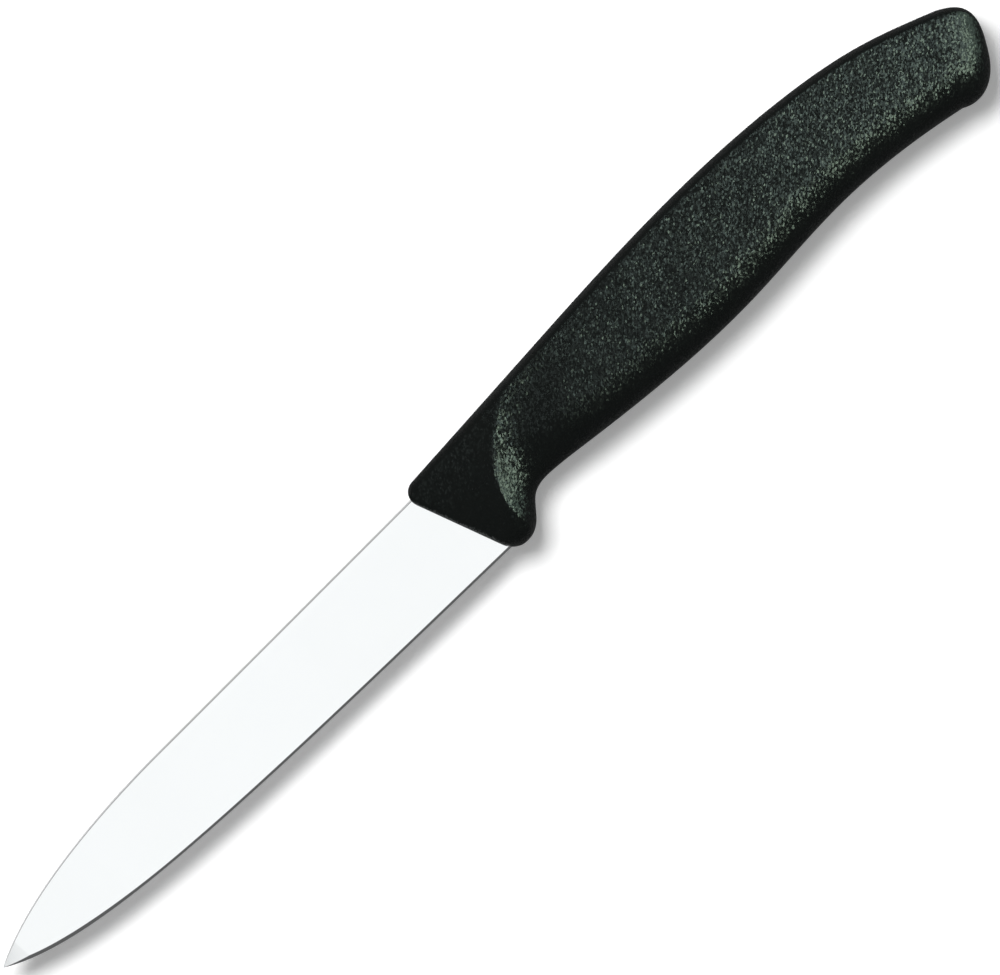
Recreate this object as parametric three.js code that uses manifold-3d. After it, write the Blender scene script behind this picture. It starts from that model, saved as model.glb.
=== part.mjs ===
// Paring knife. One steel stamping is the blade and the hidden tang, and one plastic moulding around the
// tang is the handle. The plastic that fills the tang's holes keeps the two together.
// Millimetres. The knife lies on its side: +X runs from the tip to the butt, +Y to the spine side, +Z up.
// The origin is under the middle of the knife, on the surface that it lies on.
import * as THREE from "three";
import { mergeVertices } from "three/addons/utils/BufferGeometryUtils.js";
import Module from "manifold-3d";

// Blade, drawn from the tip
const BLADE_LENGTH = 99.75; // tip to the handle's front, along the tip's own line
const SPINE_RISE = 6.77; // spine above the tip's line
const EDGE_DROP = 9.85; // heel of the cutting edge below the tip's line
const SPINE_SWEEP = 41.5; // length over which the spine bends down to the tip
const SPINE_THICKNESS = 1.2; // at the handle, and of the tang
const TIP_THICKNESS = 0.4; // what the spine tapers to at the tip
const SHOULDER_THICKNESS = 0.23; // where a flank meets the edge bevel
const EDGE_BEVEL = 0.42; // height of the bevel ground on the cutting edge
const TIP_BEVEL = 0.6; // height of that bevel near the tip
const SPINE_ROUNDING = 0.38; // radius of the spine's two corners
const POINT_HEIGHT = 4; // height of the blade where its section starts to shrink to the point

// Heel and tang, inside the handle
const HEEL_INSET = 3.23; // how far the blade's full height runs in behind the handle's front
const TANG_WALL = 3; // plastic above and below the tang, at the finger recess
const TANG_COVER = 27; // grip behind the end of the tang
const TANG_WEB = 1.8; // steel above and below a hole in the tang
const TANG_HOLES = 3;
const MOULD_GAP = 0.2; // between steel and plastic all round

// Handle, drawn from its front, where the front crosses the tip's line
const GRIP_LENGTH = 109.45; // front to the last full section, before the butt
const HANDLE_THICKNESS = 12.5;
const BOLSTER_THICKNESS = 5.8; // at the front
const BOLSTER_LENGTH = 19.25; // front to the ridge that ends the bolster, at the back
const BOLSTER_LOW_LENGTH = 8.25; // front to that ridge, at the height of the finger recess
const HOLLOW_DEPTH = 0.9; // of the thumb hollow behind the ridge, on each side, at the finger recess
const HOLLOW_LENGTH = 16; // ridge to the end of the thumb hollow
const BACK_OVERHANG = 1.65; // back above the spine, at the front
const CROWN_RISE = 3.03; // highest point of the back above its front
const GUARD_OVERHANG = 1; // finger guard below the heel of the edge
const GUARD_BACK = 10.2; // lowest point of the guard to the finger recess
const RECESS_DEPTH = 5.05; // finger recess above the lowest point of the guard
const BACK_ROLL = 1.4; // width of the rounding along the back
const BELLY_ROLL = 7; // width of the rounding along the belly, in the middle of the grip
const LEAST_FLAT = 1; // least width of the flat between the two roundings
const FRONT_SLANT = 20.25; // degrees
const FRONT_TOP_RADIUS = 3.1; // front corner at the back, seen from the side
const FRONT_LOW_RADIUS = 1.6; // front corner at the guard, seen from the side
const FRONT_EDGE_RADIUS = 0.8; // rounding of the front's long edges
const BUTT_SLANT = 29.5; // degrees
const BUTT_BULGE = 6.3; // how far the butt domes out behind the last full section

// Curve handles of the blade's outline: [share of the curve's length, share of its height]
const SPINE_HANDLES = [[0.28, 0.886], [0.768, 1]];
const EDGE_HANDLES = [[0.119, 0.785], [0.388, 0.877]];

// Shares of the cutting edge's length between which its bevel narrows
const BEVEL_NARROWS = [0.1, 0.3];

// Shape of the handle's lines in its side view. Each point is [share of a length, share of a size].
// Back: share of the grip's length, share of CROWN_RISE
const BACK_SHAPE = [
  [-0.041, -0.021], [0.237, 0.553], [0.548, 1], [0.78, 0.493], [0.908, -0.451], [1.017, -1.909],
];
// Belly: share of the way to the guard's low point, share of the guard's back, share of the rest of the grip,
// each with a share of RECESS_DEPTH
const GUARD_FRONT_SHAPE = [[0.46, 0.145], [1, 0]];
const GUARD_BACK_SHAPE = [[0.27, 0.283], [0.49, 0.777], [0.72, 0.993], [1, 1]];
const BELLY_SHAPE = [
  [0.0715, 0.848], [0.256, 0.47], [0.442, 0.35], [0.674, 0.515], [0.866, 0.17], [0.954, -0.144],
];
// Width of the belly's rounding: the same three stretches, each with a share of BELLY_ROLL
const GUARD_FRONT_ROLL = [[0.3, 0.4], [0.82, 0.55]];
const GUARD_BACK_ROLL = [[0.09, 1.06], [0.43, 1.4], [0.82, 1.4]];
const GRIP_ROLL = [[0.025, 1.2], [0.09, 1.04], [0.256, 1], [0.46, 0.97], [0.7, 1], [0.98, 1]];

// Exponents: 2 rounds a corner or the butt as an ellipse, less cuts it flatter, more fills it out
const BACK_FULLNESS = 2.2;
const BELLY_FULLNESS = 2;
const BUTT_TOP_FULLNESS = 3.15;
const BUTT_LOW_FULLNESS = 2.2;

// Steps that the curved faces are cut into, and how much closer the sections stand towards the front
const BLADE_STEPS = 44;
const BLADE_CROWDING = 1.5;
const SPINE_STEPS = 3;
const TANG_STEPS = 10;
const FRONT_STEPS = 6;
const GRIP_STEPS = 46;
const GRIP_CROWDING = 1.3;
const BELLY_STEPS = 7;
const FLAT_STEPS = 6;
const BACK_STEPS = 5;
const BUTT_STEPS = 9;

const STEEL = new THREE.MeshStandardMaterial({ color: 0xdfe3e6, roughness: 0.18, metalness: 1 });
const PLASTIC = new THREE.MeshStandardMaterial({ color: 0x161a19, roughness: 0.55, metalness: 0 });

const { clamp, degToRad, lerp, smoothstep } = THREE.MathUtils;
const QUARTER_TURN = Math.PI / 2;
const frontSlope = Math.tan(degToRad(FRONT_SLANT));
const frontCosine = Math.cos(degToRad(FRONT_SLANT));
const buttSlope = Math.tan(degToRad(BUTT_SLANT));
const heelRun = HEEL_INSET / frontCosine;

const wasm = await Module();
wasm.setup();

function solidOf(geometry) {
  const bare = new THREE.BufferGeometry().setAttribute("position", geometry.getAttribute("position"));
  bare.setIndex(geometry.getIndex());
  const merged = mergeVertices(bare, 1e-4);
  const vertProperties = merged.getAttribute("position").array;
  const triVerts = new Uint32Array(merged.getIndex().array);
  return new wasm.Manifold(new wasm.Mesh({ numProp: 3, vertProperties, triVerts }));
}

function geometryOf(solid) {
  const { vertProperties, triVerts } = solid.getMesh();
  const geometry = new THREE.BufferGeometry();
  geometry.setAttribute("position", new THREE.BufferAttribute(vertProperties, 3));
  geometry.setIndex(new THREE.BufferAttribute(triVerts, 1));
  geometry.computeVertexNormals();
  return geometry;
}

// A closed skin over rings of points that are listed from one end to the other, with a point at each end.
function skinOver(firstPoint, rings, lastPoint) {
  const around = rings[0].length;
  const points = [firstPoint, ...rings.flat(), lastPoint];
  const last = points.length - 1;
  const triangles = [];
  for (let j = 0; j < around; j += 1) {
    const next = (j + 1) % around;
    triangles.push(0, 1 + j, 1 + next);
    for (let i = 0; i + 1 < rings.length; i += 1) {
      const near = 1 + i * around;
      const far = near + around;
      triangles.push(near + j, far + j, near + next, near + next, far + j, far + next);
    }
    triangles.push(last, last - around + next, last - around + j);
  }
  const geometry = new THREE.BufferGeometry().setFromPoints(points);
  geometry.setIndex(triangles);
  return geometry;
}

function middleOf(ring) {
  const sum = new THREE.Vector3();
  ring.forEach((point) => sum.add(point));
  return sum.divideScalar(ring.length);
}

// The natural cubic spline through the given points, as a function of the distance along the handle.
function smoothLine(points) {
  const count = points.length;
  const bend = new Array(count).fill(0);
  const weight = new Array(count).fill(0);
  for (let i = 1; i + 1 < count; i += 1) {
    const before = points[i][0] - points[i - 1][0];
    const after = points[i + 1][0] - points[i][0];
    const turn = (points[i + 1][1] - points[i][1]) / after - (points[i][1] - points[i - 1][1]) / before;
    const pivot = 2 * (before + after) - before * weight[i - 1];
    weight[i] = after / pivot;
    bend[i] = (6 * turn - before * bend[i - 1]) / pivot;
  }
  for (let i = count - 2; i > 0; i -= 1) {
    bend[i] -= weight[i] * bend[i + 1];
  }
  return (along) => {
    let i = 0;
    while (i + 2 < count && along > points[i + 1][0]) {
      i += 1;
    }
    const span = points[i + 1][0] - points[i][0];
    const b = (along - points[i][0]) / span;
    const a = 1 - b;
    const straight = a * points[i][1] + b * points[i + 1][1];
    return straight + (((a ** 3 - a) * bend[i] + (b ** 3 - b) * bend[i + 1]) * span ** 2) / 6;
  };
}

// The handle's lines in its side view, as heights over the distance behind the front. The guard's low point
// lies under the rear corner of the blade's heel.
const guardAt = frontSlope * EDGE_DROP + heelRun;
const recessAt = guardAt + GUARD_BACK;
const guardLow = -(EDGE_DROP + GUARD_OVERHANG);
const recessLow = guardLow + RECESS_DEPTH;
const frontTop = SPINE_RISE + BACK_OVERHANG;

function bellyPoints(guardFront, guardBack, grip, base, size) {
  return [
    ...guardFront.map(([share, height]) => [share * guardAt, base + height * size]),
    ...guardBack.map(([share, height]) => [lerp(guardAt, recessAt, share), base + height * size]),
    ...grip.map(([share, height]) => [lerp(recessAt, GRIP_LENGTH, share), base + height * size]),
  ];
}

const backLine = smoothLine(
  BACK_SHAPE.map(([share, rise]) => [share * GRIP_LENGTH, frontTop + rise * CROWN_RISE]),
);
const bellyLine = smoothLine(
  bellyPoints(GUARD_FRONT_SHAPE, GUARD_BACK_SHAPE, BELLY_SHAPE, guardLow, RECESS_DEPTH),
);
const rollWidth = smoothLine(bellyPoints(GUARD_FRONT_ROLL, GUARD_BACK_ROLL, GRIP_ROLL, 0, BELLY_ROLL));
const upperCrease = (along) => backLine(along) - BACK_ROLL;
const lowerCrease = (along) => bellyLine(along) + rollWidth(along);

// One section of the blade, from the cutting edge up one flank, over the spine and down the other flank.
function bladeRing(spine, edge, share, grow) {
  const top = spine.getPointAt(share);
  const low = edge.getPointAt(share);
  const height = top.distanceTo(low);
  const up = top.clone().sub(low).divideScalar(height);
  const shrink = Math.min(1, height / POINT_HEIGHT);
  const half = (lerp(TIP_THICKNESS, SPINE_THICKNESS, share) * shrink) / 2;
  const rounding = Math.min(SPINE_ROUNDING * shrink, half);
  const bevel = lerp(TIP_BEVEL, EDGE_BEVEL, smoothstep(share, ...BEVEL_NARROWS)) * shrink;
  const side = [[bevel, (SHOULDER_THICKNESS * shrink) / 2 + grow]];
  for (let i = 0; i <= SPINE_STEPS; i += 1) {
    const turn = (QUARTER_TURN * i) / SPINE_STEPS;
    const lift = height + grow - rounding * (1 - Math.sin(turn));
    side.push([lift, half + grow - rounding * (1 - Math.cos(turn))]);
  }
  const otherSide = side.map(([lift, depth]) => [lift, -depth]).reverse();
  return [[-grow, 0], ...side, ...otherSide].map(
    ([lift, depth]) => new THREE.Vector3(low.x + up.x * lift, low.y + up.y * lift, depth),
  );
}

// The flat tang from inside the heel to its round end, with the holes along its middle.
function tangGeometry(grow) {
  const height = frontTop - recessLow - 2 * TANG_WALL;
  const middle = (frontTop + recessLow) / 2;
  const radius = height / 2 + grow;
  const root = BLADE_LENGTH + heelRun / 2 - grow;
  const bow = BLADE_LENGTH + GRIP_LENGTH - TANG_COVER - height / 2;
  const outline = new THREE.Shape();
  outline.moveTo(root - frontSlope * (middle - radius), middle - radius);
  outline.lineTo(bow, middle - radius);
  outline.absarc(bow, middle, radius, -QUARTER_TURN, QUARTER_TURN);
  outline.lineTo(root - frontSlope * (middle + radius), middle + radius);
  outline.closePath();
  for (let i = 0; i < TANG_HOLES; i += 1) {
    const at = lerp(BLADE_LENGTH + BOLSTER_LENGTH, bow, (i + 0.5) / TANG_HOLES);
    const hole = new THREE.Path();
    hole.absarc(at, middle, height / 2 - TANG_WEB - grow, 0, 4 * QUARTER_TURN);
    outline.holes.push(hole);
  }
  const depth = SPINE_THICKNESS + 2 * grow;
  const plate = new THREE.ExtrudeGeometry(outline, { depth, bevelEnabled: false, curveSegments: TANG_STEPS });
  return plate.translate(0, 0, -depth / 2);
}

// Blade and tang, with every face moved outwards by grow.
function bladeSolid(grow) {
  const tip = new THREE.Vector2(0, 0);
  const bendEnd = new THREE.Vector2(SPINE_SWEEP, SPINE_RISE);
  const spineEnd = new THREE.Vector2(BLADE_LENGTH - frontSlope * SPINE_RISE + heelRun, SPINE_RISE);
  const edgeEnd = new THREE.Vector2(BLADE_LENGTH + guardAt, -EDGE_DROP);
  const handlesTo = (end, shares) => shares.map(([x, y]) => new THREE.Vector2(x * end.x, y * end.y));
  const spine = new THREE.CurvePath();
  spine.add(new THREE.CubicBezierCurve(tip, ...handlesTo(bendEnd, SPINE_HANDLES), bendEnd));
  spine.add(new THREE.LineCurve(bendEnd, spineEnd));
  const edge = new THREE.CubicBezierCurve(tip, ...handlesTo(edgeEnd, EDGE_HANDLES), edgeEnd);
  const rings = [];
  for (let i = 1; i <= BLADE_STEPS; i += 1) {
    rings.push(bladeRing(spine, edge, (i / BLADE_STEPS) ** BLADE_CROWDING, grow));
  }
  const point = new THREE.Vector3(tip.x - grow, tip.y, 0);
  const ground = solidOf(skinOver(point, rings, middleOf(rings.at(-1))));
  return ground.add(solidOf(tangGeometry(grow)));
}

// Height at which a line of the handle meets a section that crosses the tip's line at along and leans by
// slope, found by closing in on it.
function meet(line, along, slope) {
  let height = line(along);
  for (let i = 0; i < 50; i += 1) {
    height = (height + line(along - slope * height)) / 2;
  }
  return height;
}

// Half the handle's thickness at a point of its side view. It grows evenly from the front to the bolster's
// ridge, falls into the thumb hollow behind the ridge, is least after a third of it and comes back slowly.
// The hollow runs out toward the back.
function halfThickness(along, height) {
  const upward = clamp((height - recessLow) / (frontTop - recessLow), 0, 1);
  const ridge = lerp(BOLSTER_LOW_LENGTH, BOLSTER_LENGTH, upward ** 2);
  const front = -frontSlope * height;
  const ramp = clamp((along - front) / (ridge - front), 0, 1);
  const behind = clamp((along - ridge) / HOLLOW_LENGTH, 0, 1);
  const hollow = HOLLOW_DEPTH * (1 - upward ** 3) * (27 / 4) * behind * (1 - behind) ** 2;
  return lerp(BOLSTER_THICKNESS, HANDLE_THICKNESS, ramp) / 2 - hollow;
}

// How far a rounded corner of the front is drawn in at a distance behind the front.
function cornerInset(behind, radius) {
  const missing = Math.max(0, radius - behind);
  return radius - Math.sqrt(radius ** 2 - missing ** 2);
}

// Lean of a section: that of the front at first, upright in the middle and that of the butt at the end.
function sectionSlope(along) {
  const leaveFront = smoothstep(along, FRONT_TOP_RADIUS, 2 * BOLSTER_LENGTH);
  const reachButt = smoothstep(along, GRIP_LENGTH / 2, GRIP_LENGTH);
  return frontSlope * (1 - leaveFront) - buttSlope * reachButt;
}

// Points of a rounding from the crease, where it is half thick, towards the outline, where it ends.
function roundingPoints(crease, outline, halfAt, fullness, steps) {
  const power = 2 / fullness;
  const points = [];
  for (let i = 0; i < steps; i += 1) {
    const turn = (QUARTER_TURN * i) / steps;
    const height = lerp(crease, outline, Math.sin(turn) ** power);
    points.push([height, halfAt(height) * Math.cos(turn) ** power]);
  }
  return points;
}

// One section of the handle, from the belly up one side, over the back and down the other side.
function handleRing(along, slope) {
  const behind = along * frontCosine;
  const low = meet(bellyLine, along, slope) + cornerInset(behind, FRONT_LOW_RADIUS);
  const high = meet(backLine, along, slope) - cornerInset(behind, FRONT_TOP_RADIUS);
  const highCrease = Math.min(high, meet(upperCrease, along, slope));
  const lowCrease = clamp(meet(lowerCrease, along, slope), low, highCrease - LEAST_FLAT);
  const thin = cornerInset(behind, FRONT_EDGE_RADIUS);
  const halfAt = (height) => halfThickness(along - slope * height, height) - thin;
  const flat = [];
  for (let i = 1; i < FLAT_STEPS; i += 1) {
    const height = lerp(lowCrease, highCrease, i / FLAT_STEPS);
    flat.push([height, halfAt(height)]);
  }
  const side = [
    ...roundingPoints(lowCrease, low, halfAt, BELLY_FULLNESS, BELLY_STEPS).reverse(),
    ...flat,
    ...roundingPoints(highCrease, high, halfAt, BACK_FULLNESS, BACK_STEPS),
  ];
  const otherSide = side.map(([height, depth]) => [height, -depth]).reverse();
  return [[low, 0], ...side, [high, 0], ...otherSide].map(
    ([height, depth]) => new THREE.Vector3(BLADE_LENGTH + along - slope * height, height, depth),
  );
}

// Rings that carry the last section on into the domed butt, and the point where they close.
function buttDome(ring) {
  const low = ring[0];
  const high = ring[ring.length / 2];
  const middle = low.clone().add(high).divideScalar(2);
  const reach = low.distanceTo(high) / 2;
  const up = high.clone().sub(low).normalize();
  const out = new THREE.Vector3(up.y, -up.x, 0);
  const rings = [];
  for (let i = 1; i < BUTT_STEPS; i += 1) {
    const turn = (QUARTER_TURN * i) / BUTT_STEPS;
    const domed = ring.map((point) => {
      const arm = point.clone().sub(middle);
      const upper = smoothstep(arm.dot(up) / reach, -0.5, 0.5);
      const power = 2 / lerp(BUTT_LOW_FULLNESS, BUTT_TOP_FULLNESS, upper);
      const shift = out.clone().multiplyScalar(BUTT_BULGE * Math.sin(turn) ** power);
      return arm.multiplyScalar(Math.cos(turn) ** power).add(middle).add(shift);
    });
    rings.push(domed);
  }
  return { rings, pole: out.multiplyScalar(BUTT_BULGE).add(middle) };
}

function handleSolid() {
  const rings = [];
  for (let i = 0; i < FRONT_STEPS; i += 1) {
    const along = FRONT_TOP_RADIUS * (1 - Math.cos((QUARTER_TURN * i) / FRONT_STEPS));
    rings.push(handleRing(along, frontSlope));
  }
  for (let i = 0; i <= GRIP_STEPS; i += 1) {
    const along = lerp(FRONT_TOP_RADIUS, GRIP_LENGTH, (i / GRIP_STEPS) ** GRIP_CROWDING);
    rings.push(handleRing(along, sectionSlope(along)));
  }
  const butt = buttDome(rings.at(-1));
  return solidOf(skinOver(middleOf(rings[0]), [...rings, ...butt.rings], butt.pole));
}

const blade = new THREE.Mesh(geometryOf(bladeSolid(0)), STEEL);
blade.name = "blade";
const handle = new THREE.Mesh(geometryOf(handleSolid().subtract(bladeSolid(MOULD_GAP))), PLASTIC);
handle.name = "handle";

const knife = new THREE.Group();
knife.add(blade, handle);
const box = new THREE.Box3().setFromObject(knife, true);
const middle = box.getCenter(new THREE.Vector3());
knife.position.set(-middle.x, -middle.y, -box.min.z);

export default knife;
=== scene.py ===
import math

import bpy
import numpy as np
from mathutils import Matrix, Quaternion, Vector


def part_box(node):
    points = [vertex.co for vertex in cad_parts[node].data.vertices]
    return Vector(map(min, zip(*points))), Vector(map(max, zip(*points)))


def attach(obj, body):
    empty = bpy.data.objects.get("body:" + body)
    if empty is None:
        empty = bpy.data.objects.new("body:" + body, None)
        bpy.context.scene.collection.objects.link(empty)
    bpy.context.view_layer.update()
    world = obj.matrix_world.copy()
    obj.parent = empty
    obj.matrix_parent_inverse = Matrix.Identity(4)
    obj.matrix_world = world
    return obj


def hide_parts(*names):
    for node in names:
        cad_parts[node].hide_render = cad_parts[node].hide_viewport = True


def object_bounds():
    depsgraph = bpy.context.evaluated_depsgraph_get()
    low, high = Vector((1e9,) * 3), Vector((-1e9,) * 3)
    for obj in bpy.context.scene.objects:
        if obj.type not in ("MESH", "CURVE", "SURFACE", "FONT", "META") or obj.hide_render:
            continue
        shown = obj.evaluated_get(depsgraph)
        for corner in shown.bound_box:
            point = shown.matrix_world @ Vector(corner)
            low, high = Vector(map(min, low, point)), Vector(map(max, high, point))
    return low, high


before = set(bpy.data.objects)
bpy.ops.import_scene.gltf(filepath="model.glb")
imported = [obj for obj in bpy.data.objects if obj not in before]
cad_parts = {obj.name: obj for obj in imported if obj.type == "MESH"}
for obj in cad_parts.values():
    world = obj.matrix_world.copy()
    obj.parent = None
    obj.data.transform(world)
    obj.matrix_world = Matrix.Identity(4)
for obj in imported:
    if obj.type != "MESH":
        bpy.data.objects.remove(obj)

CAD_BOX = [list(corner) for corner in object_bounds()]
MM = 0.001

# Blade, in millimetres, drawn from the tip: x to the butt, y to the spine, z through the thickness
BLADE_LENGTH = 99.75
SPINE_RISE = 6.77
EDGE_DROP = 9.85
SPINE_SWEEP = 41.5
SPINE_THICKNESS = 1.2
TIP_THICKNESS = 0.4
SHOULDER_THICKNESS = 0.23
EDGE_BEVEL = 0.42
TIP_BEVEL = 0.6
SPINE_ROUNDING = 0.38
POINT_HEIGHT = 4.0
SPINE_HANDLES = [[0.28, 0.886], [0.768, 1.0]]
EDGE_HANDLES = [[0.119, 0.785], [0.388, 0.877]]
BEVEL_NARROWS = (0.1, 0.3)

# Heel and tang, inside the handle
HEEL_INSET = 3.23
TANG_WALL = 3.0
TANG_COVER = 27.0
TANG_WEB = 1.8
TANG_HOLES = 3
TANG_DEBURR = 0.1
MOULD_SEAM = 0.02

# Handle, drawn from its front, where the front crosses the tip's line
GRIP_LENGTH = 109.45
HANDLE_THICKNESS = 12.5
BOLSTER_THICKNESS = 5.8
BOLSTER_LENGTH = 19.25
BOLSTER_LOW_LENGTH = 8.25
HOLLOW_DEPTH = 0.9
HOLLOW_LENGTH = 16.0
BACK_OVERHANG = 1.65
CROWN_RISE = 3.03
GUARD_OVERHANG = 1.0
GUARD_BACK = 10.2
RECESS_DEPTH = 5.05
BACK_ROLL = 1.4
BELLY_ROLL = 7.0
LEAST_FLAT = 1.0
FRONT_ANGLE = math.radians(20.25)
FRONT_SLOPE = math.tan(FRONT_ANGLE)
FRONT_COSINE = math.cos(FRONT_ANGLE)
FRONT_TOP_RADIUS = 3.1
FRONT_LOW_RADIUS = 1.6
FRONT_EDGE_RADIUS = 0.8
BUTT_SLOPE = math.tan(math.radians(29.5))
BUTT_BULGE = 6.3
BACK_FULLNESS = 2.2
BELLY_FULLNESS = 2.0
BUTT_TOP_FULLNESS = 3.15
BUTT_LOW_FULLNESS = 2.2
BUTT_BLEND = (-0.5, 0.5)
PARTING_WIDTH = 0.16
PARTING_HEIGHT = 0.03

# Shape of the handle's lines: share of a length, share of a size
BACK_SHAPE = [
    [-0.041, -0.021], [0.237, 0.553], [0.548, 1.0], [0.78, 0.493], [0.908, -0.451], [1.017, -1.909],
]
GUARD_FRONT_SHAPE = [[0.46, 0.145], [1.0, 0.0]]
GUARD_BACK_SHAPE = [[0.27, 0.283], [0.49, 0.777], [0.72, 0.993], [1.0, 1.0]]
BELLY_SHAPE = [
    [0.0715, 0.848], [0.256, 0.47], [0.442, 0.35], [0.674, 0.515], [0.866, 0.17], [0.954, -0.144],
]
GUARD_FRONT_ROLL = [[0.3, 0.4], [0.82, 0.55]]
GUARD_BACK_ROLL = [[0.09, 1.06], [0.43, 1.4], [0.82, 1.4]]
GRIP_ROLL = [[0.025, 1.2], [0.09, 1.04], [0.256, 1.0], [0.46, 0.97], [0.7, 1.0], [0.98, 1.0]]

# Steps of the meshes, how much closer the sections stand towards the front, the points of a blade curve,
# and how often the search for a line's height closes in
BLADE_STEPS = 260
BLADE_CROWDING = 1.5
FLANK_STEPS = 8
SPINE_STEPS = 16
TANG_STEPS = 40
HOLE_STEPS = 48
FRONT_STEPS = 12
GRIP_STEPS = 260
GRIP_CROWDING = 1.15
BELLY_STEPS = 22
FLAT_STEPS = 14
BACK_STEPS = 12
BUTT_STEPS = 40
CURVE_POINTS = 2001
MEET_ROUNDS = 50

# Angles in degrees past which an edge of the mesh is shaded sharp
BLADE_SHARP = 7.5
HANDLE_SHARP = 30.0

# Patterns of the materials: how many features of each lie side by side in a metre
GRAIN_SCALE = 4800.0
GRIND_SCALE = 5200.0
PLASTIC_CLOUDS = 160.0
STEEL_CLOUDS = 45.0

# Range of a noise over which the roughness changes
NOISE_RANGE = (0.3, 0.7)

# Grain of the plastic: the turn and stretch of its facets, and how much they lean
GRAIN_TURN = 45.0
GRAIN_STRETCH = 1.6
GRAIN_LEAN = 0.41

# Black polypropylene: its two shades, its roughness, and the strength and tint of its gloss
PLASTIC_SHADES = [(0.0042, 0.0050, 0.0047), (0.0054, 0.0060, 0.0057)]
PLASTIC_ROUGHNESS = (0.26, 0.3)
PLASTIC_GLOSS = 0.34
PLASTIC_GLOSS_TINT = (0.84, 1.0, 0.96)

# Stainless steel: its two shades, its roughness, and the grinding lines' scale along them and their depth
# in metres
STEEL_SHADES = [(0.81, 0.815, 0.82), (0.84, 0.845, 0.85)]
STEEL_ROUGHNESS = (0.08, 0.11)
GRIND_ALONG = 0.03
GRIND_DEPTH = 0.0000015

# Floor: its side, its colour, and its glow to the camera at a near and at a far distance
FLOOR_SIDE = 24.0
FLOOR_COLOUR = (0.9, 0.9, 0.9)
GLOW_DISTANCES = (0.3, 1.5)
FLOOR_GLOW = (0.25, 1.0)

# World: the sine of the angle above the horizon where its walls end and where its panel begins, how these
# two glow, and its tint
PANEL_RIM = (0.982, 0.99)
PANEL_GLOW = (0.085, 1.13)
WORLD_TINT = (0.98, 1.0, 1.0)

# Tent around the blade, a cube that stands cornerwise to it: its side, the height of its middle, its turn
# in degrees, and how its four walls and its roof glow
TENT_SIDE = 1.6
TENT_MIDDLE = 0.2
TENT_TURN = 45.0
WALL_GLOW = 0.8
ROOF_GLOW = 0.04

# Photograph: what its frame shows of the plane through the middle of the blade
FRAME_WIDTH = 157.73
FRAME_CENTRE = (108.99, -1.85)
FRAME_TURN = -45.0
CAMERA_HEIGHT = 2.0
SENSOR_WIDTH = 36.0

HEEL_RUN = HEEL_INSET / FRONT_COSINE
GUARD_AT = FRONT_SLOPE * EDGE_DROP + HEEL_RUN
RECESS_AT = GUARD_AT + GUARD_BACK
GUARD_LOW = -(EDGE_DROP + GUARD_OVERHANG)
RECESS_LOW = GUARD_LOW + RECESS_DEPTH
FRONT_TOP = SPINE_RISE + BACK_OVERHANG
TANG_HEIGHT = FRONT_TOP - RECESS_LOW - 2 * TANG_WALL
TANG_MIDDLE = (FRONT_TOP + RECESS_LOW) / 2
TANG_BOW = BLADE_LENGTH + GRIP_LENGTH - TANG_COVER - TANG_HEIGHT / 2

blade_low, blade_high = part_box("blade")
TIP = np.array([
    blade_low.x,
    blade_high.y - SPINE_RISE * MM,
    (blade_low.z + blade_high.z) / 2,
])


def lerp(a, b, share):
    return a + (b - a) * share


def smoothstep(value, low, high):
    share = np.clip((value - low) / (high - low), 0, 1)
    return share * share * (3 - 2 * share)


def natural_spline(knots):
    """The natural cubic spline through the knots, as a function of distance: on each span the straight
    line between its two knots, bent by second derivatives that are continuous and vanish at both
    ends."""
    at, value = np.array(knots).T
    span = np.diff(at)
    inner = np.arange(1, len(at) - 1)
    matrix = np.eye(len(at))
    matrix[inner, inner - 1] = span[:-1]
    matrix[inner, inner] = 2 * (span[:-1] + span[1:])
    matrix[inner, inner + 1] = span[1:]
    turn = np.zeros(len(at))
    turn[inner] = 6 * np.diff(np.diff(value) / span)
    bend = np.linalg.solve(matrix, turn)

    def line(along):
        i = np.clip(np.searchsorted(at, along) - 1, 0, len(span) - 1)
        b = (along - at[i]) / span[i]
        a = 1 - b
        bent = ((a**3 - a) * bend[i] + (b**3 - b) * bend[i + 1]) * span[i] ** 2 / 6
        return a * value[i] + b * value[i + 1] + bent

    return line


def belly_knots(guard_front, guard_back, grip, base, size):
    """Knots over the three stretches of the belly: front to guard, guard to finger recess, recess to
    butt."""
    stretches = [
        (guard_front, 0, GUARD_AT),
        (guard_back, GUARD_AT, RECESS_AT),
        (grip, RECESS_AT, GRIP_LENGTH),
    ]
    return [
        [lerp(start, end, share), base + height * size]
        for points, start, end in stretches
        for share, height in points
    ]


back_line = natural_spline(
    [[share * GRIP_LENGTH, FRONT_TOP + rise * CROWN_RISE] for share, rise in BACK_SHAPE]
)
belly_line = natural_spline(
    belly_knots(GUARD_FRONT_SHAPE, GUARD_BACK_SHAPE, BELLY_SHAPE, GUARD_LOW, RECESS_DEPTH)
)
roll_width = natural_spline(belly_knots(GUARD_FRONT_ROLL, GUARD_BACK_ROLL, GRIP_ROLL, 0, BELLY_ROLL))


def upper_crease(along):
    return back_line(along) - BACK_ROLL


def lower_crease(along):
    return belly_line(along) + roll_width(along)


def tube_faces(rings, around):
    """Four-sided faces between neighbouring points of closed rings, then a fan to a point at each end.
    The rings come first, and the two end points last."""
    ring = np.arange(rings - 1)[:, None] * around
    here = np.arange(around)
    after = (here + 1) % around
    next_ring = ring + around
    quads = np.stack([ring + here, next_ring + here, next_ring + after, ring + after], axis=-1)
    last = (rings - 1) * around
    first_point = rings * around
    first_fan = np.stack([np.full(around, first_point), here, after], axis=-1)
    last_fan = np.stack([np.full(around, first_point + 1), last + after, last + here], axis=-1)
    return quads.reshape(-1, 4).tolist() + first_fan.tolist() + last_fan.tolist()


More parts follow.
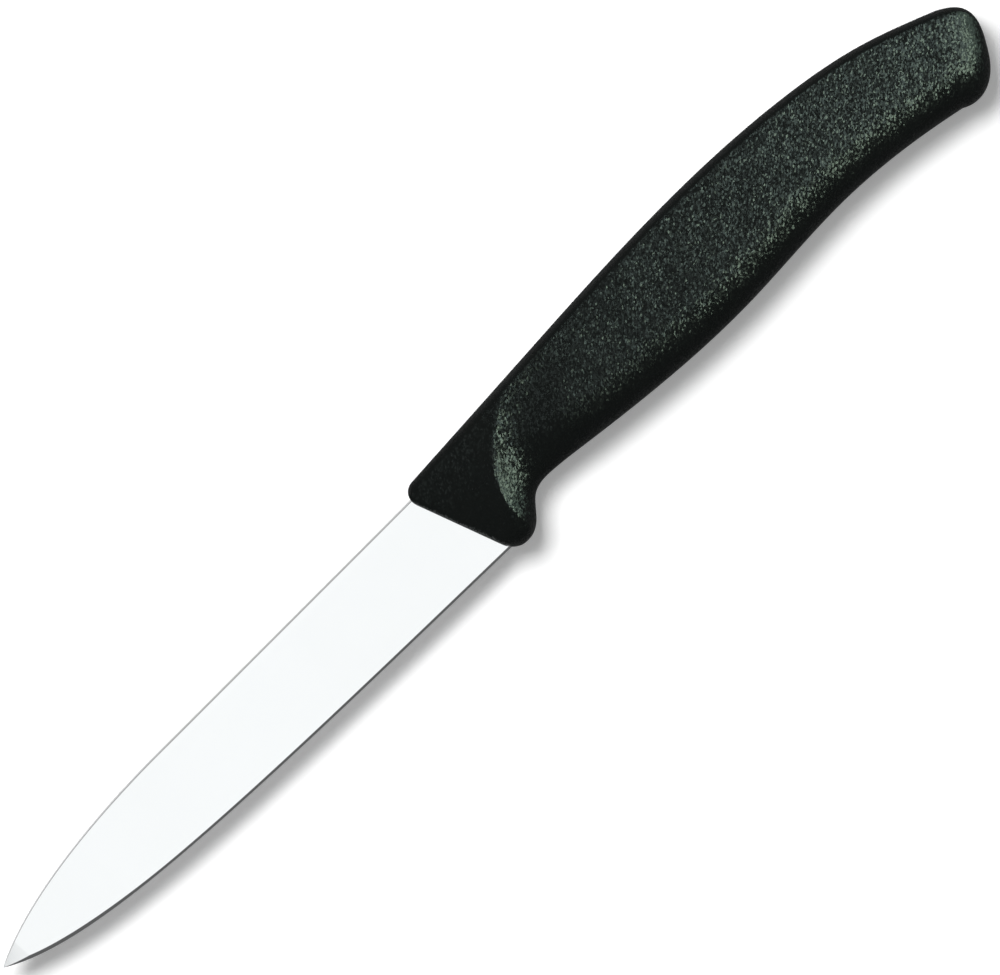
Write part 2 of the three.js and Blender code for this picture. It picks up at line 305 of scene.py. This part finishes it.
def tube(name, rings, first_point, last_point):
    """A closed piece over an array of rings, in drawing millimetres, put where the tip is and kept inside
    the box of the solids."""
    points = np.concatenate([rings.reshape(-1, 3), [first_point], [last_point]])
    mesh = bpy.data.meshes.new(name)
    inside = np.clip(points * MM + TIP, *CAD_BOX)
    mesh.from_pydata(inside.tolist(), [], tube_faces(*rings.shape[:2]))
    piece = bpy.data.objects.new(name, mesh)
    bpy.context.scene.collection.objects.link(piece)
    return piece


def cut(piece, cutter):
    """Takes the cutter's volume out of the piece, and the cutter out of the scene."""
    change = piece.modifiers.new("cut", "BOOLEAN")
    change.operation = "DIFFERENCE"
    change.solver = "EXACT"
    change.object = cutter
    whole = piece.evaluated_get(bpy.context.evaluated_depsgraph_get())
    mesh = bpy.data.meshes.new_from_object(whole)
    piece.modifiers.clear()
    old = piece.data
    piece.data = mesh
    mesh.name = piece.name
    bpy.data.meshes.remove(old)
    bpy.data.meshes.remove(cutter.data)


def shade(piece, sharp_angle):
    """Smooth shading, apart from edges that turn by more than the sharp angle."""
    piece.data.shade_smooth()
    piece.data.set_sharp_from_angle(angle=math.radians(sharp_angle))


def bezier(start, shares, end):
    """Points of the cubic Bezier curve from start to end. Its two handles are given as shares of the
    end's place."""
    t = np.linspace(0, 1, CURVE_POINTS)[:, None]
    back = 1 - t
    first, second = np.array(shares) * end
    return back**3 * start + 3 * back**2 * t * first + 3 * back * t**2 * second + t**3 * end


def at_shares(points, shares):
    """Points at the given shares of a line's own length."""
    run = np.concatenate([[0], np.cumsum(np.linalg.norm(np.diff(points, axis=0), axis=1))])
    return np.stack([np.interp(shares * run[-1], run, points[:, k]) for k in (0, 1)], axis=-1)


def mirrored(lifts, depths):
    """Whole rings from one side's points, listed from the low edge to the high one: the same points with
    the other sign of depth follow in reverse, and the two points on the middle plane aren't repeated."""
    lift = np.concatenate([lifts, lifts[:, -2:0:-1]], axis=1)
    depth = np.concatenate([depths, -depths[:, -2:0:-1]], axis=1)
    return lift, depth


def steel_rings(low, high, sizes, grow):
    """Sections of the steel between points of its low and high lines: up the edge bevel to the shoulder,
    up the flat flank and round the corner of the spine, with every face moved out by grow. The sizes are
    the bevel's height, half the thickness at the shoulder and at the spine, and the spine's rounding."""
    height = np.linalg.norm(high - low, axis=1)[:, None]
    up = (high - low) / height
    flank = np.linspace(0, 1, FLANK_STEPS + 1)
    turn = np.linspace(0, math.pi / 2, SPINE_STEPS + 1)[1:]
    bevel, shoulder, half, rounding = (np.broadcast_to(size, len(low))[:, None] for size in sizes)
    top = height - rounding
    edge = np.zeros_like(height)
    lifts = np.concatenate([
        edge - grow,
        lerp(bevel, top + grow, flank),
        top + grow + rounding * np.sin(turn),
        height + grow,
    ], axis=1)
    depths = np.concatenate([
        edge,
        lerp(shoulder, half, flank) + grow,
        half + grow - rounding * (1 - np.cos(turn)),
        edge,
    ], axis=1)
    lift, depth = mirrored(lifts, depths)
    flat = low[:, None, :] + up[:, None, :] * lift[:, :, None]
    return np.concatenate([flat, depth[:, :, None]], axis=2)


def blade_rings(grow):
    """The blade from the tip to its heel. Spine and edge are curves, paired at equal shares of their
    lengths. Below the point height the whole section shrinks with the height."""
    tip = np.zeros(2)
    bend_end = np.array([SPINE_SWEEP, SPINE_RISE])
    spine_end = np.array([BLADE_LENGTH - FRONT_SLOPE * SPINE_RISE + HEEL_RUN, SPINE_RISE])
    edge_end = np.array([BLADE_LENGTH + GUARD_AT, -EDGE_DROP])
    share = (np.arange(1, BLADE_STEPS + 1) / BLADE_STEPS) ** BLADE_CROWDING
    high = at_shares(np.concatenate([bezier(tip, SPINE_HANDLES, bend_end), [spine_end]]), share)
    low = at_shares(bezier(tip, EDGE_HANDLES, edge_end), share)
    shrink = np.minimum(1, np.linalg.norm(high - low, axis=1) / POINT_HEIGHT)
    half = lerp(TIP_THICKNESS, SPINE_THICKNESS, share) * shrink / 2
    bevel = lerp(TIP_BEVEL, EDGE_BEVEL, smoothstep(share, *BEVEL_NARROWS)) * shrink
    shoulder = SHOULDER_THICKNESS * shrink / 2
    rounding = np.minimum(SPINE_ROUNDING * shrink, half)
    return steel_rings(low, high, (bevel, shoulder, half, rounding), grow)


def tang_rings(grow):
    """The tang from the heel's slanted rear to its round end, with the same sections made square."""
    half_height = TANG_HEIGHT / 2 + grow
    straight = np.linspace(0, 1, TANG_STEPS)
    bow = np.linspace(0, math.pi / 2, TANG_STEPS)[1:-1]

    def line(height):
        root = BLADE_LENGTH + HEEL_RUN + grow - FRONT_SLOPE * (TANG_MIDDLE + height)
        x = np.concatenate([lerp(root, TANG_BOW, straight), TANG_BOW + half_height * np.sin(bow)])
        y = TANG_MIDDLE + height * np.concatenate([np.ones(TANG_STEPS), np.cos(bow)])
        return np.stack([x, y], axis=-1)

    low = line(-half_height)
    high = line(half_height)
    half = SPINE_THICKNESS / 2 + grow
    return steel_rings(low, high, (TANG_DEBURR, half, half, TANG_DEBURR), 0)


def peg_rings(middle, radius, reach):
    """A round bar through the tang, along z: two circles, at minus and plus the reach."""
    turn = np.linspace(0, 2 * math.pi, HOLE_STEPS, endpoint=False)
    circle = np.stack([middle + radius * np.cos(turn), TANG_MIDDLE + radius * np.sin(turn)], axis=-1)
    rings = np.empty((2, HOLE_STEPS, 3))
    rings[:, :, :2] = circle
    rings[:, :, 2] = [[-reach], [reach]]
    return rings


def steel(name, grow):
    """Blade and tang in one piece, with the tang's holes cut through."""
    rings = np.concatenate([blade_rings(grow), tang_rings(grow)])
    end = [TANG_BOW + TANG_HEIGHT / 2 + grow, TANG_MIDDLE, 0]
    piece = tube(name, rings, [-grow, 0, 0], end)
    for i in range(TANG_HOLES):
        at = lerp(BLADE_LENGTH + BOLSTER_LENGTH, TANG_BOW, (i + 0.5) / TANG_HOLES)
        rings = peg_rings(at, TANG_HEIGHT / 2 - TANG_WEB - grow, SPINE_THICKNESS)
        low_end = [at, TANG_MIDDLE, -SPINE_THICKNESS]
        high_end = [at, TANG_MIDDLE, SPINE_THICKNESS]
        cut(piece, tube("bar", rings, low_end, high_end))
    return piece


def meet(line, along, slope):
    """Height at which a line of the handle meets a section that crosses the tip's line at along and leans
    by slope, found by going halfway to the line's own height again and again."""
    height = line(along)
    for _ in range(MEET_ROUNDS):
        height = (height + line(along - slope * height)) / 2
    return height


def half_thickness(along, height):
    """Half the handle's thickness at a point of its side view. It grows evenly from the front to the
    bolster's ridge, which lies farther back by the square of the height. Behind the ridge the thumb
    hollow takes off s times (1 - s) squared, where s is the share of its length. That is most after a
    third of it, where it is 4/27, and it runs out toward the back."""
    upward = np.clip((height - RECESS_LOW) / (FRONT_TOP - RECESS_LOW), 0, 1)
    ridge = lerp(BOLSTER_LOW_LENGTH, BOLSTER_LENGTH, upward**2)
    front = -FRONT_SLOPE * height
    ramp = np.clip((along - front) / (ridge - front), 0, 1)
    behind = np.clip((along - ridge) / HOLLOW_LENGTH, 0, 1)
    hollow = HOLLOW_DEPTH * (1 - upward**3) * (27 / 4) * behind * (1 - behind) ** 2
    return lerp(BOLSTER_THICKNESS, HANDLE_THICKNESS, ramp) / 2 - hollow


def corner_inset(behind, radius):
    """How far a round corner of the front is drawn in at a distance behind the front."""
    missing = np.maximum(0, radius - behind)
    return radius - np.sqrt(radius**2 - missing**2)


def rounding(crease, outline, fullness, steps):
    """Heights from the crease to just short of the outline, and the share of the thickness at each, on a
    superellipse: sine and cosine of a quarter turn to the power of two over the fullness. Two more
    points carry the foot of the parting line."""
    turn = np.linspace(0, math.pi / 2, steps, endpoint=False)
    power = 2 / fullness
    foot = np.array([PARTING_WIDTH, PARTING_WIDTH / 2]) / (HANDLE_THICKNESS / 2)
    height = np.concatenate([np.sin(turn) ** power, (1 - foot**fullness) ** (1 / fullness)])
    return lerp(crease, outline, height), np.concatenate([np.cos(turn) ** power, foot])


def handle_rings():
    """Sections of the handle from the front to the last full one before the butt. Each leans: as the
    front at first, upright in the middle and as the butt at the end."""
    quarter = np.linspace(0, math.pi / 2, FRONT_STEPS, endpoint=False)
    front = FRONT_TOP_RADIUS * (1 - np.cos(quarter))
    grip = lerp(FRONT_TOP_RADIUS, GRIP_LENGTH, np.linspace(0, 1, GRIP_STEPS + 1) ** GRIP_CROWDING)
    along = np.concatenate([front, grip])
    leave_front = smoothstep(along, FRONT_TOP_RADIUS, 2 * BOLSTER_LENGTH)
    reach_butt = smoothstep(along, GRIP_LENGTH / 2, GRIP_LENGTH)
    slope = FRONT_SLOPE * (1 - leave_front) - BUTT_SLOPE * reach_butt
    along, slope = along[:, None], slope[:, None]
    behind = along * FRONT_COSINE
    low = meet(belly_line, along, slope) + corner_inset(behind, FRONT_LOW_RADIUS)
    high = meet(back_line, along, slope) - corner_inset(behind, FRONT_TOP_RADIUS)
    high_crease = np.minimum(high, meet(upper_crease, along, slope))
    low_crease = np.clip(meet(lower_crease, along, slope), low, high_crease - LEAST_FLAT)
    belly, belly_share = rounding(low_crease, low + PARTING_HEIGHT, BELLY_FULLNESS, BELLY_STEPS)
    flat = lerp(low_crease, high_crease, np.linspace(0, 1, FLAT_STEPS + 1)[1:-1])
    back, back_share = rounding(high_crease, high - PARTING_HEIGHT, BACK_FULLNESS, BACK_STEPS)
    heights = np.concatenate([low, belly[:, ::-1], flat, back, high], axis=1)
    shares = np.concatenate([[0], belly_share[::-1], np.ones(FLAT_STEPS - 1), back_share, [0]])
    half = half_thickness(along - slope * heights, heights) - corner_inset(behind, FRONT_EDGE_RADIUS)
    height, depth = mirrored(heights, half * shares)
    x = BLADE_LENGTH + along - slope * height
    return np.stack([x, height, depth], axis=-1)


def butt_dome(ring):
    """Rings that carry the last section on into the butt, and the point where they close: the section
    shrinks about its middle by a power of the cosine while it moves out by the same power of the sine."""
    low = ring[0]
    high = ring[len(ring) // 2]
    middle = (low + high) / 2
    reach = np.linalg.norm(high - low) / 2
    up = (high - low) / (2 * reach)
    out = np.array([up[1], -up[0], 0])
    arm = ring - middle
    upward = smoothstep(arm @ up / reach, *BUTT_BLEND)
    power = 2 / lerp(BUTT_LOW_FULLNESS, BUTT_TOP_FULLNESS, upward)
    turn = np.linspace(0, math.pi / 2, BUTT_STEPS, endpoint=False)[1:, None]
    shrink = np.cos(turn) ** power
    shift = BUTT_BULGE * np.sin(turn) ** power
    return middle + arm * shrink[:, :, None] + out * shift[:, :, None], middle + out * BUTT_BULGE


def moulding(name):
    """The handle with the space that the steel fills."""
    body = handle_rings()
    dome, pole = butt_dome(body[-1])
    piece = tube(name, np.concatenate([body, dome]), body[0].mean(axis=0), pole)
    cut(piece, steel("steel_space", MOULD_SEAM))
    return piece


class Field:
    """One output socket of a shader tree. Arithmetic on it adds Math nodes."""

    def __init__(self, shader, socket):
        self.shader = shader
        self.socket = socket

    def math(self, operation, first, second):
        return self.shader.node("ShaderNodeMath", {"operation": operation}, {0: first, 1: second})

    def __add__(self, other):
        return self.math("ADD", self, other)

    def __sub__(self, other):
        return self.math("SUBTRACT", self, other)

    def __rsub__(self, other):
        return self.math("SUBTRACT", other, self)

    def __mul__(self, other):
        return self.math("MULTIPLY", self, other)

    __radd__ = __add__
    __rmul__ = __mul__


class Shader:
    """The node tree of a material or of the world."""

    def __init__(self, owner):
        owner.use_nodes = True
        self.tree = owner.node_tree
        self.tree.nodes.clear()

    def node(self, kind, settings, sockets, output=0):
        """A node of that type with its settings made first, then the values or links of its sockets."""
        made = self.tree.nodes.new(kind)
        for name, value in settings.items():
            setattr(made, name, value)
        for name, value in sockets.items():
            if isinstance(value, Field):
                self.tree.links.new(value.socket, made.inputs[name])
            else:
                made.inputs[name].default_value = value
        return Field(self, made.outputs[output]) if made.outputs else None

    def place(self, scale):
        """Object coordinates, stretched by the given scale."""
        objects = self.node("ShaderNodeTexCoord", {}, {}, "Object")
        return self.node("ShaderNodeMapping", {}, {"Vector": objects, "Scale": scale})

    def noise(self, place, scale, roughness):
        sockets = {"Vector": place, "Scale": scale, "Detail": 2.0, "Roughness": roughness}
        return self.node("ShaderNodeTexNoise", {}, sockets)

    def vectors(self, operation, *operands, output="Vector"):
        sockets = dict(enumerate(operands))
        return self.node("ShaderNodeVectorMath", {"operation": operation}, sockets, output)

    def between(self, field, ends, goals):
        """The field with one range, given by its ends, brought to another, and cut off there."""
        sockets = {0: field, 1: ends[0], 2: ends[1], 3: goals[0], 4: goals[1]}
        return self.node("ShaderNodeMapRange", {"clamp": True}, sockets)

    def blend(self, share, first, second):
        """A colour between two others."""
        sockets = {0: share, 6: colour(*first), 7: colour(*second)}
        return self.node("ShaderNodeMix", {"data_type": "RGBA"}, sockets, 2)


def colour(red, green, blue):
    return (red, green, blue, 1.0)


def moulded_plastic():
    """Black polypropylene with the grain of an etched mould: small facets, a little longer one way than
    the other, that each lean by chance."""
    material = bpy.data.materials.new("moulded_plastic")
    shader = Shader(material)
    place = shader.place((1, 1, 1))
    turned = {
        "Vector": place,
        "Rotation": (0, 0, math.radians(GRAIN_TURN)),
        "Scale": (GRAIN_STRETCH, 1, 1),
    }
    along_grain = shader.node("ShaderNodeMapping", {"vector_type": "TEXTURE"}, turned)
    facets = {"Vector": along_grain, "Scale": GRAIN_SCALE}
    chance = shader.node("ShaderNodeTexVoronoi", {}, facets, "Color")
    centred = shader.vectors("SUBTRACT", chance, (0.5, 0.5, 0.5))
    lean = shader.vectors("MULTIPLY", centred, (GRAIN_LEAN, GRAIN_LEAN, GRAIN_LEAN))
    outward = shader.node("ShaderNodeNewGeometry", {}, {}, "Normal")
    leaning = shader.vectors("ADD", outward, lean)
    clouds = shader.noise(place, PLASTIC_CLOUDS, roughness=0.5)
    sockets = {
        "Base Color": shader.blend(clouds, *PLASTIC_SHADES),
        "Roughness": shader.between(clouds, NOISE_RANGE, PLASTIC_ROUGHNESS),
        "Specular IOR Level": PLASTIC_GLOSS,
        "Specular Tint": colour(*PLASTIC_GLOSS_TINT),
        "Normal": shader.vectors("NORMALIZE", leaning),
    }
    surface = shader.node("ShaderNodeBsdfPrincipled", {}, sockets)
    shader.node("ShaderNodeOutputMaterial", {}, {"Surface": surface})
    return material


def ground_steel():
    """Stainless steel with the fine lines that grinding and glazing leave across the blade."""
    material = bpy.data.materials.new("ground_steel")
    shader = Shader(material)
    lines = shader.noise(shader.place((1, GRIND_ALONG, 1)), GRIND_SCALE, roughness=0.6)
    clouds = shader.noise(shader.place((1, 1, 1)), STEEL_CLOUDS, roughness=0.5)
    relief = {"Strength": 1.0, "Distance": GRIND_DEPTH, "Height": lines}
    sockets = {
        "Base Color": shader.blend(clouds, *STEEL_SHADES),
        "Metallic": 1.0,
        "Roughness": shader.between(lines, NOISE_RANGE, STEEL_ROUGHNESS),
        "Normal": shader.node("ShaderNodeBump", {}, relief),
    }
    surface = shader.node("ShaderNodeBsdfPrincipled", {}, sockets)
    shader.node("ShaderNodeOutputMaterial", {}, {"Surface": surface})
    return material


def pale_floor():
    """A matt white floor. To the camera it also glows, a little by the knife and fully farther away, so
    that only the shadow is darker than white."""
    material = bpy.data.materials.new("pale_floor")
    shader = Shader(material)
    seen = shader.node("ShaderNodeLightPath", {}, {}, "Is Camera Ray")
    distance = shader.vectors("LENGTH", shader.place((1, 1, 1)), output="Value")
    glow = seen * shader.between(distance, GLOW_DISTANCES, FLOOR_GLOW)
    sockets = {
        "Base Color": colour(*FLOOR_COLOUR),
        "Roughness": 1.0,
        "Specular IOR Level": 0.0,
        "Emission Color": shader.blend(glow, (0, 0, 0), (1, 1, 1)),
        "Emission Strength": 1.0,
    }
    surface = shader.node("ShaderNodeBsdfPrincipled", {}, sockets)
    shader.node("ShaderNodeOutputMaterial", {}, {"Surface": surface})
    return material


def lay_floor():
    half = FLOOR_SIDE / 2
    corners = [(-half, -half, 0), (half, -half, 0), (half, half, 0), (-half, half, 0)]
    mesh = bpy.data.meshes.new("floor")
    mesh.from_pydata(corners, [], [(0, 1, 2, 3)])
    floor = bpy.data.objects.new("floor", mesh)
    bpy.context.scene.collection.objects.link(floor)
    mesh.materials.append(pale_floor())
    floor.visible_glossy = False


def light_ceiling():
    """World light: dim walls with one bright panel straight above. The camera sees white instead."""
    world = bpy.data.worlds.new("studio")
    bpy.context.scene.world = world
    shader = Shader(world)
    direction = shader.node("ShaderNodeTexCoord", {}, {}, "Generated")
    upward = shader.node("ShaderNodeSeparateXYZ", {}, {"Vector": direction}, "Z")
    panel = shader.between(upward, PANEL_RIM, PANEL_GLOW)
    seen = shader.node("ShaderNodeLightPath", {}, {}, "Is Camera Ray")
    glow = seen + (1 - seen) * panel
    sockets = {"Color": colour(*WORLD_TINT), "Strength": glow}
    light = shader.node("ShaderNodeBackground", {}, sockets)
    shader.node("ShaderNodeOutputWorld", {}, {"Surface": light})


def hang_lamp(name, place, target, size, power, tint=(1, 1, 1), turn=0.0, lights=True, shines=True):
    """A rectangular lamp at a place that faces the target, turned by degrees about that line. It may
    light matt surfaces, shine in glossy ones, or both."""
    lamp = bpy.data.lights.new(name, "AREA")
    lamp.shape = "RECTANGLE"
    lamp.size, lamp.size_y = size
    lamp.energy = power
    lamp.color = tint
    holder = bpy.data.objects.new(name, lamp)
    holder.location = place
    facing = (Vector(target) - Vector(place)).to_track_quat("-Z", "Y")
    holder.rotation_euler = (facing @ Quaternion((0, 0, 1), math.radians(turn))).to_euler()
    holder.visible_camera = False
    holder.visible_diffuse = lights
    holder.visible_glossy = shines
    bpy.context.scene.collection.objects.link(holder)
    return holder


def pitch_tent(piece):
    """Pale walls all round and a dim roof that only the given piece shows, as polished steel shows the
    white around it. A lamp's power is pi times its area times its glow, where a glow of 1 is white."""
    half = TENT_SIDE / 2
    middle = (0, 0, TENT_MIDDLE)
    size = (TENT_SIDE, TENT_SIDE)
    full_power = math.pi * TENT_SIDE**2
    top = (0, 0, TENT_MIDDLE + half)
    sheets = [hang_lamp("roof", top, middle, size, ROOF_GLOW * full_power, turn=TENT_TURN)]
    for i in range(4):
        turn = math.radians(TENT_TURN + 90 * i)
        place = (half * math.cos(turn), half * math.sin(turn), TENT_MIDDLE)
        sheets.append(hang_lamp(f"wall_{i}", place, middle, size, WALL_GLOW * full_power))
    shown = bpy.data.collections.new("in_the_tent")
    shown.objects.link(piece)
    for sheet in sheets:
        sheet.visible_diffuse = False
        sheet.light_linking.receiver_collection = shown


def set_camera():
    """Straight above the knife, turned so that the knife lies along the frame's diagonal."""
    data = bpy.data.cameras.new("camera")
    data.sensor_width = SENSOR_WIDTH
    data.lens = SENSOR_WIDTH * (CAMERA_HEIGHT - TIP[2]) / (FRAME_WIDTH * MM)
    camera = bpy.data.objects.new("camera", data)
    camera.location = (TIP[0] + FRAME_CENTRE[0] * MM, TIP[1] + FRAME_CENTRE[1] * MM, CAMERA_HEIGHT)
    camera.rotation_euler = (0, 0, math.radians(FRAME_TURN))
    bpy.context.scene.collection.objects.link(camera)
    bpy.context.scene.camera = camera


def dress(piece, node, material, sharp_angle):
    """Gives a piece its shading and material, hangs it on the root body and hides the solid that it
    stands for.
    """
    shade(piece, sharp_angle)
    piece.data.materials.clear()
    piece.data.materials.append(material)
    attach(piece, "root")
    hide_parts(node)


blade = steel("blade_steel", 0.0)
handle = moulding("handle_moulding")
dress(blade, "blade", ground_steel(), BLADE_SHARP)
dress(handle, "handle", moulded_plastic(), HANDLE_SHARP)
lay_floor()
light_ceiling()
hang_lamp(
    "key", place=(0.0, 0.44, 0.9), target=(0, 0, 0),
    size=(0.456, 0.456), power=11.0, turn=45.0, shines=False,
)
hang_lamp(
    "soft_box", place=(0.18, -0.12, 0.2), target=(0, 0, 0),
    size=(0.12, 0.12), power=0.49, tint=(0.9, 1.0, 0.8), lights=False,
)
hang_lamp(
    "butt_glow", place=(0.2, -0.02, 0.28), target=(0.09, 0, 0),
    size=(0.16, 0.16), power=0.275, tint=(0.88, 1.0, 0.97), lights=False,
)
hang_lamp(
    "low_panel", place=(0.3, -0.03, 0.1), target=(0.1, 0, 0.1),
    size=(0.3, 0.2), power=0.35, tint=(0.8, 1.0, 0.85), lights=False,
)
pitch_tent(blade)
set_camera()
bpy.context.scene.view_settings.view_transform = "Standard"
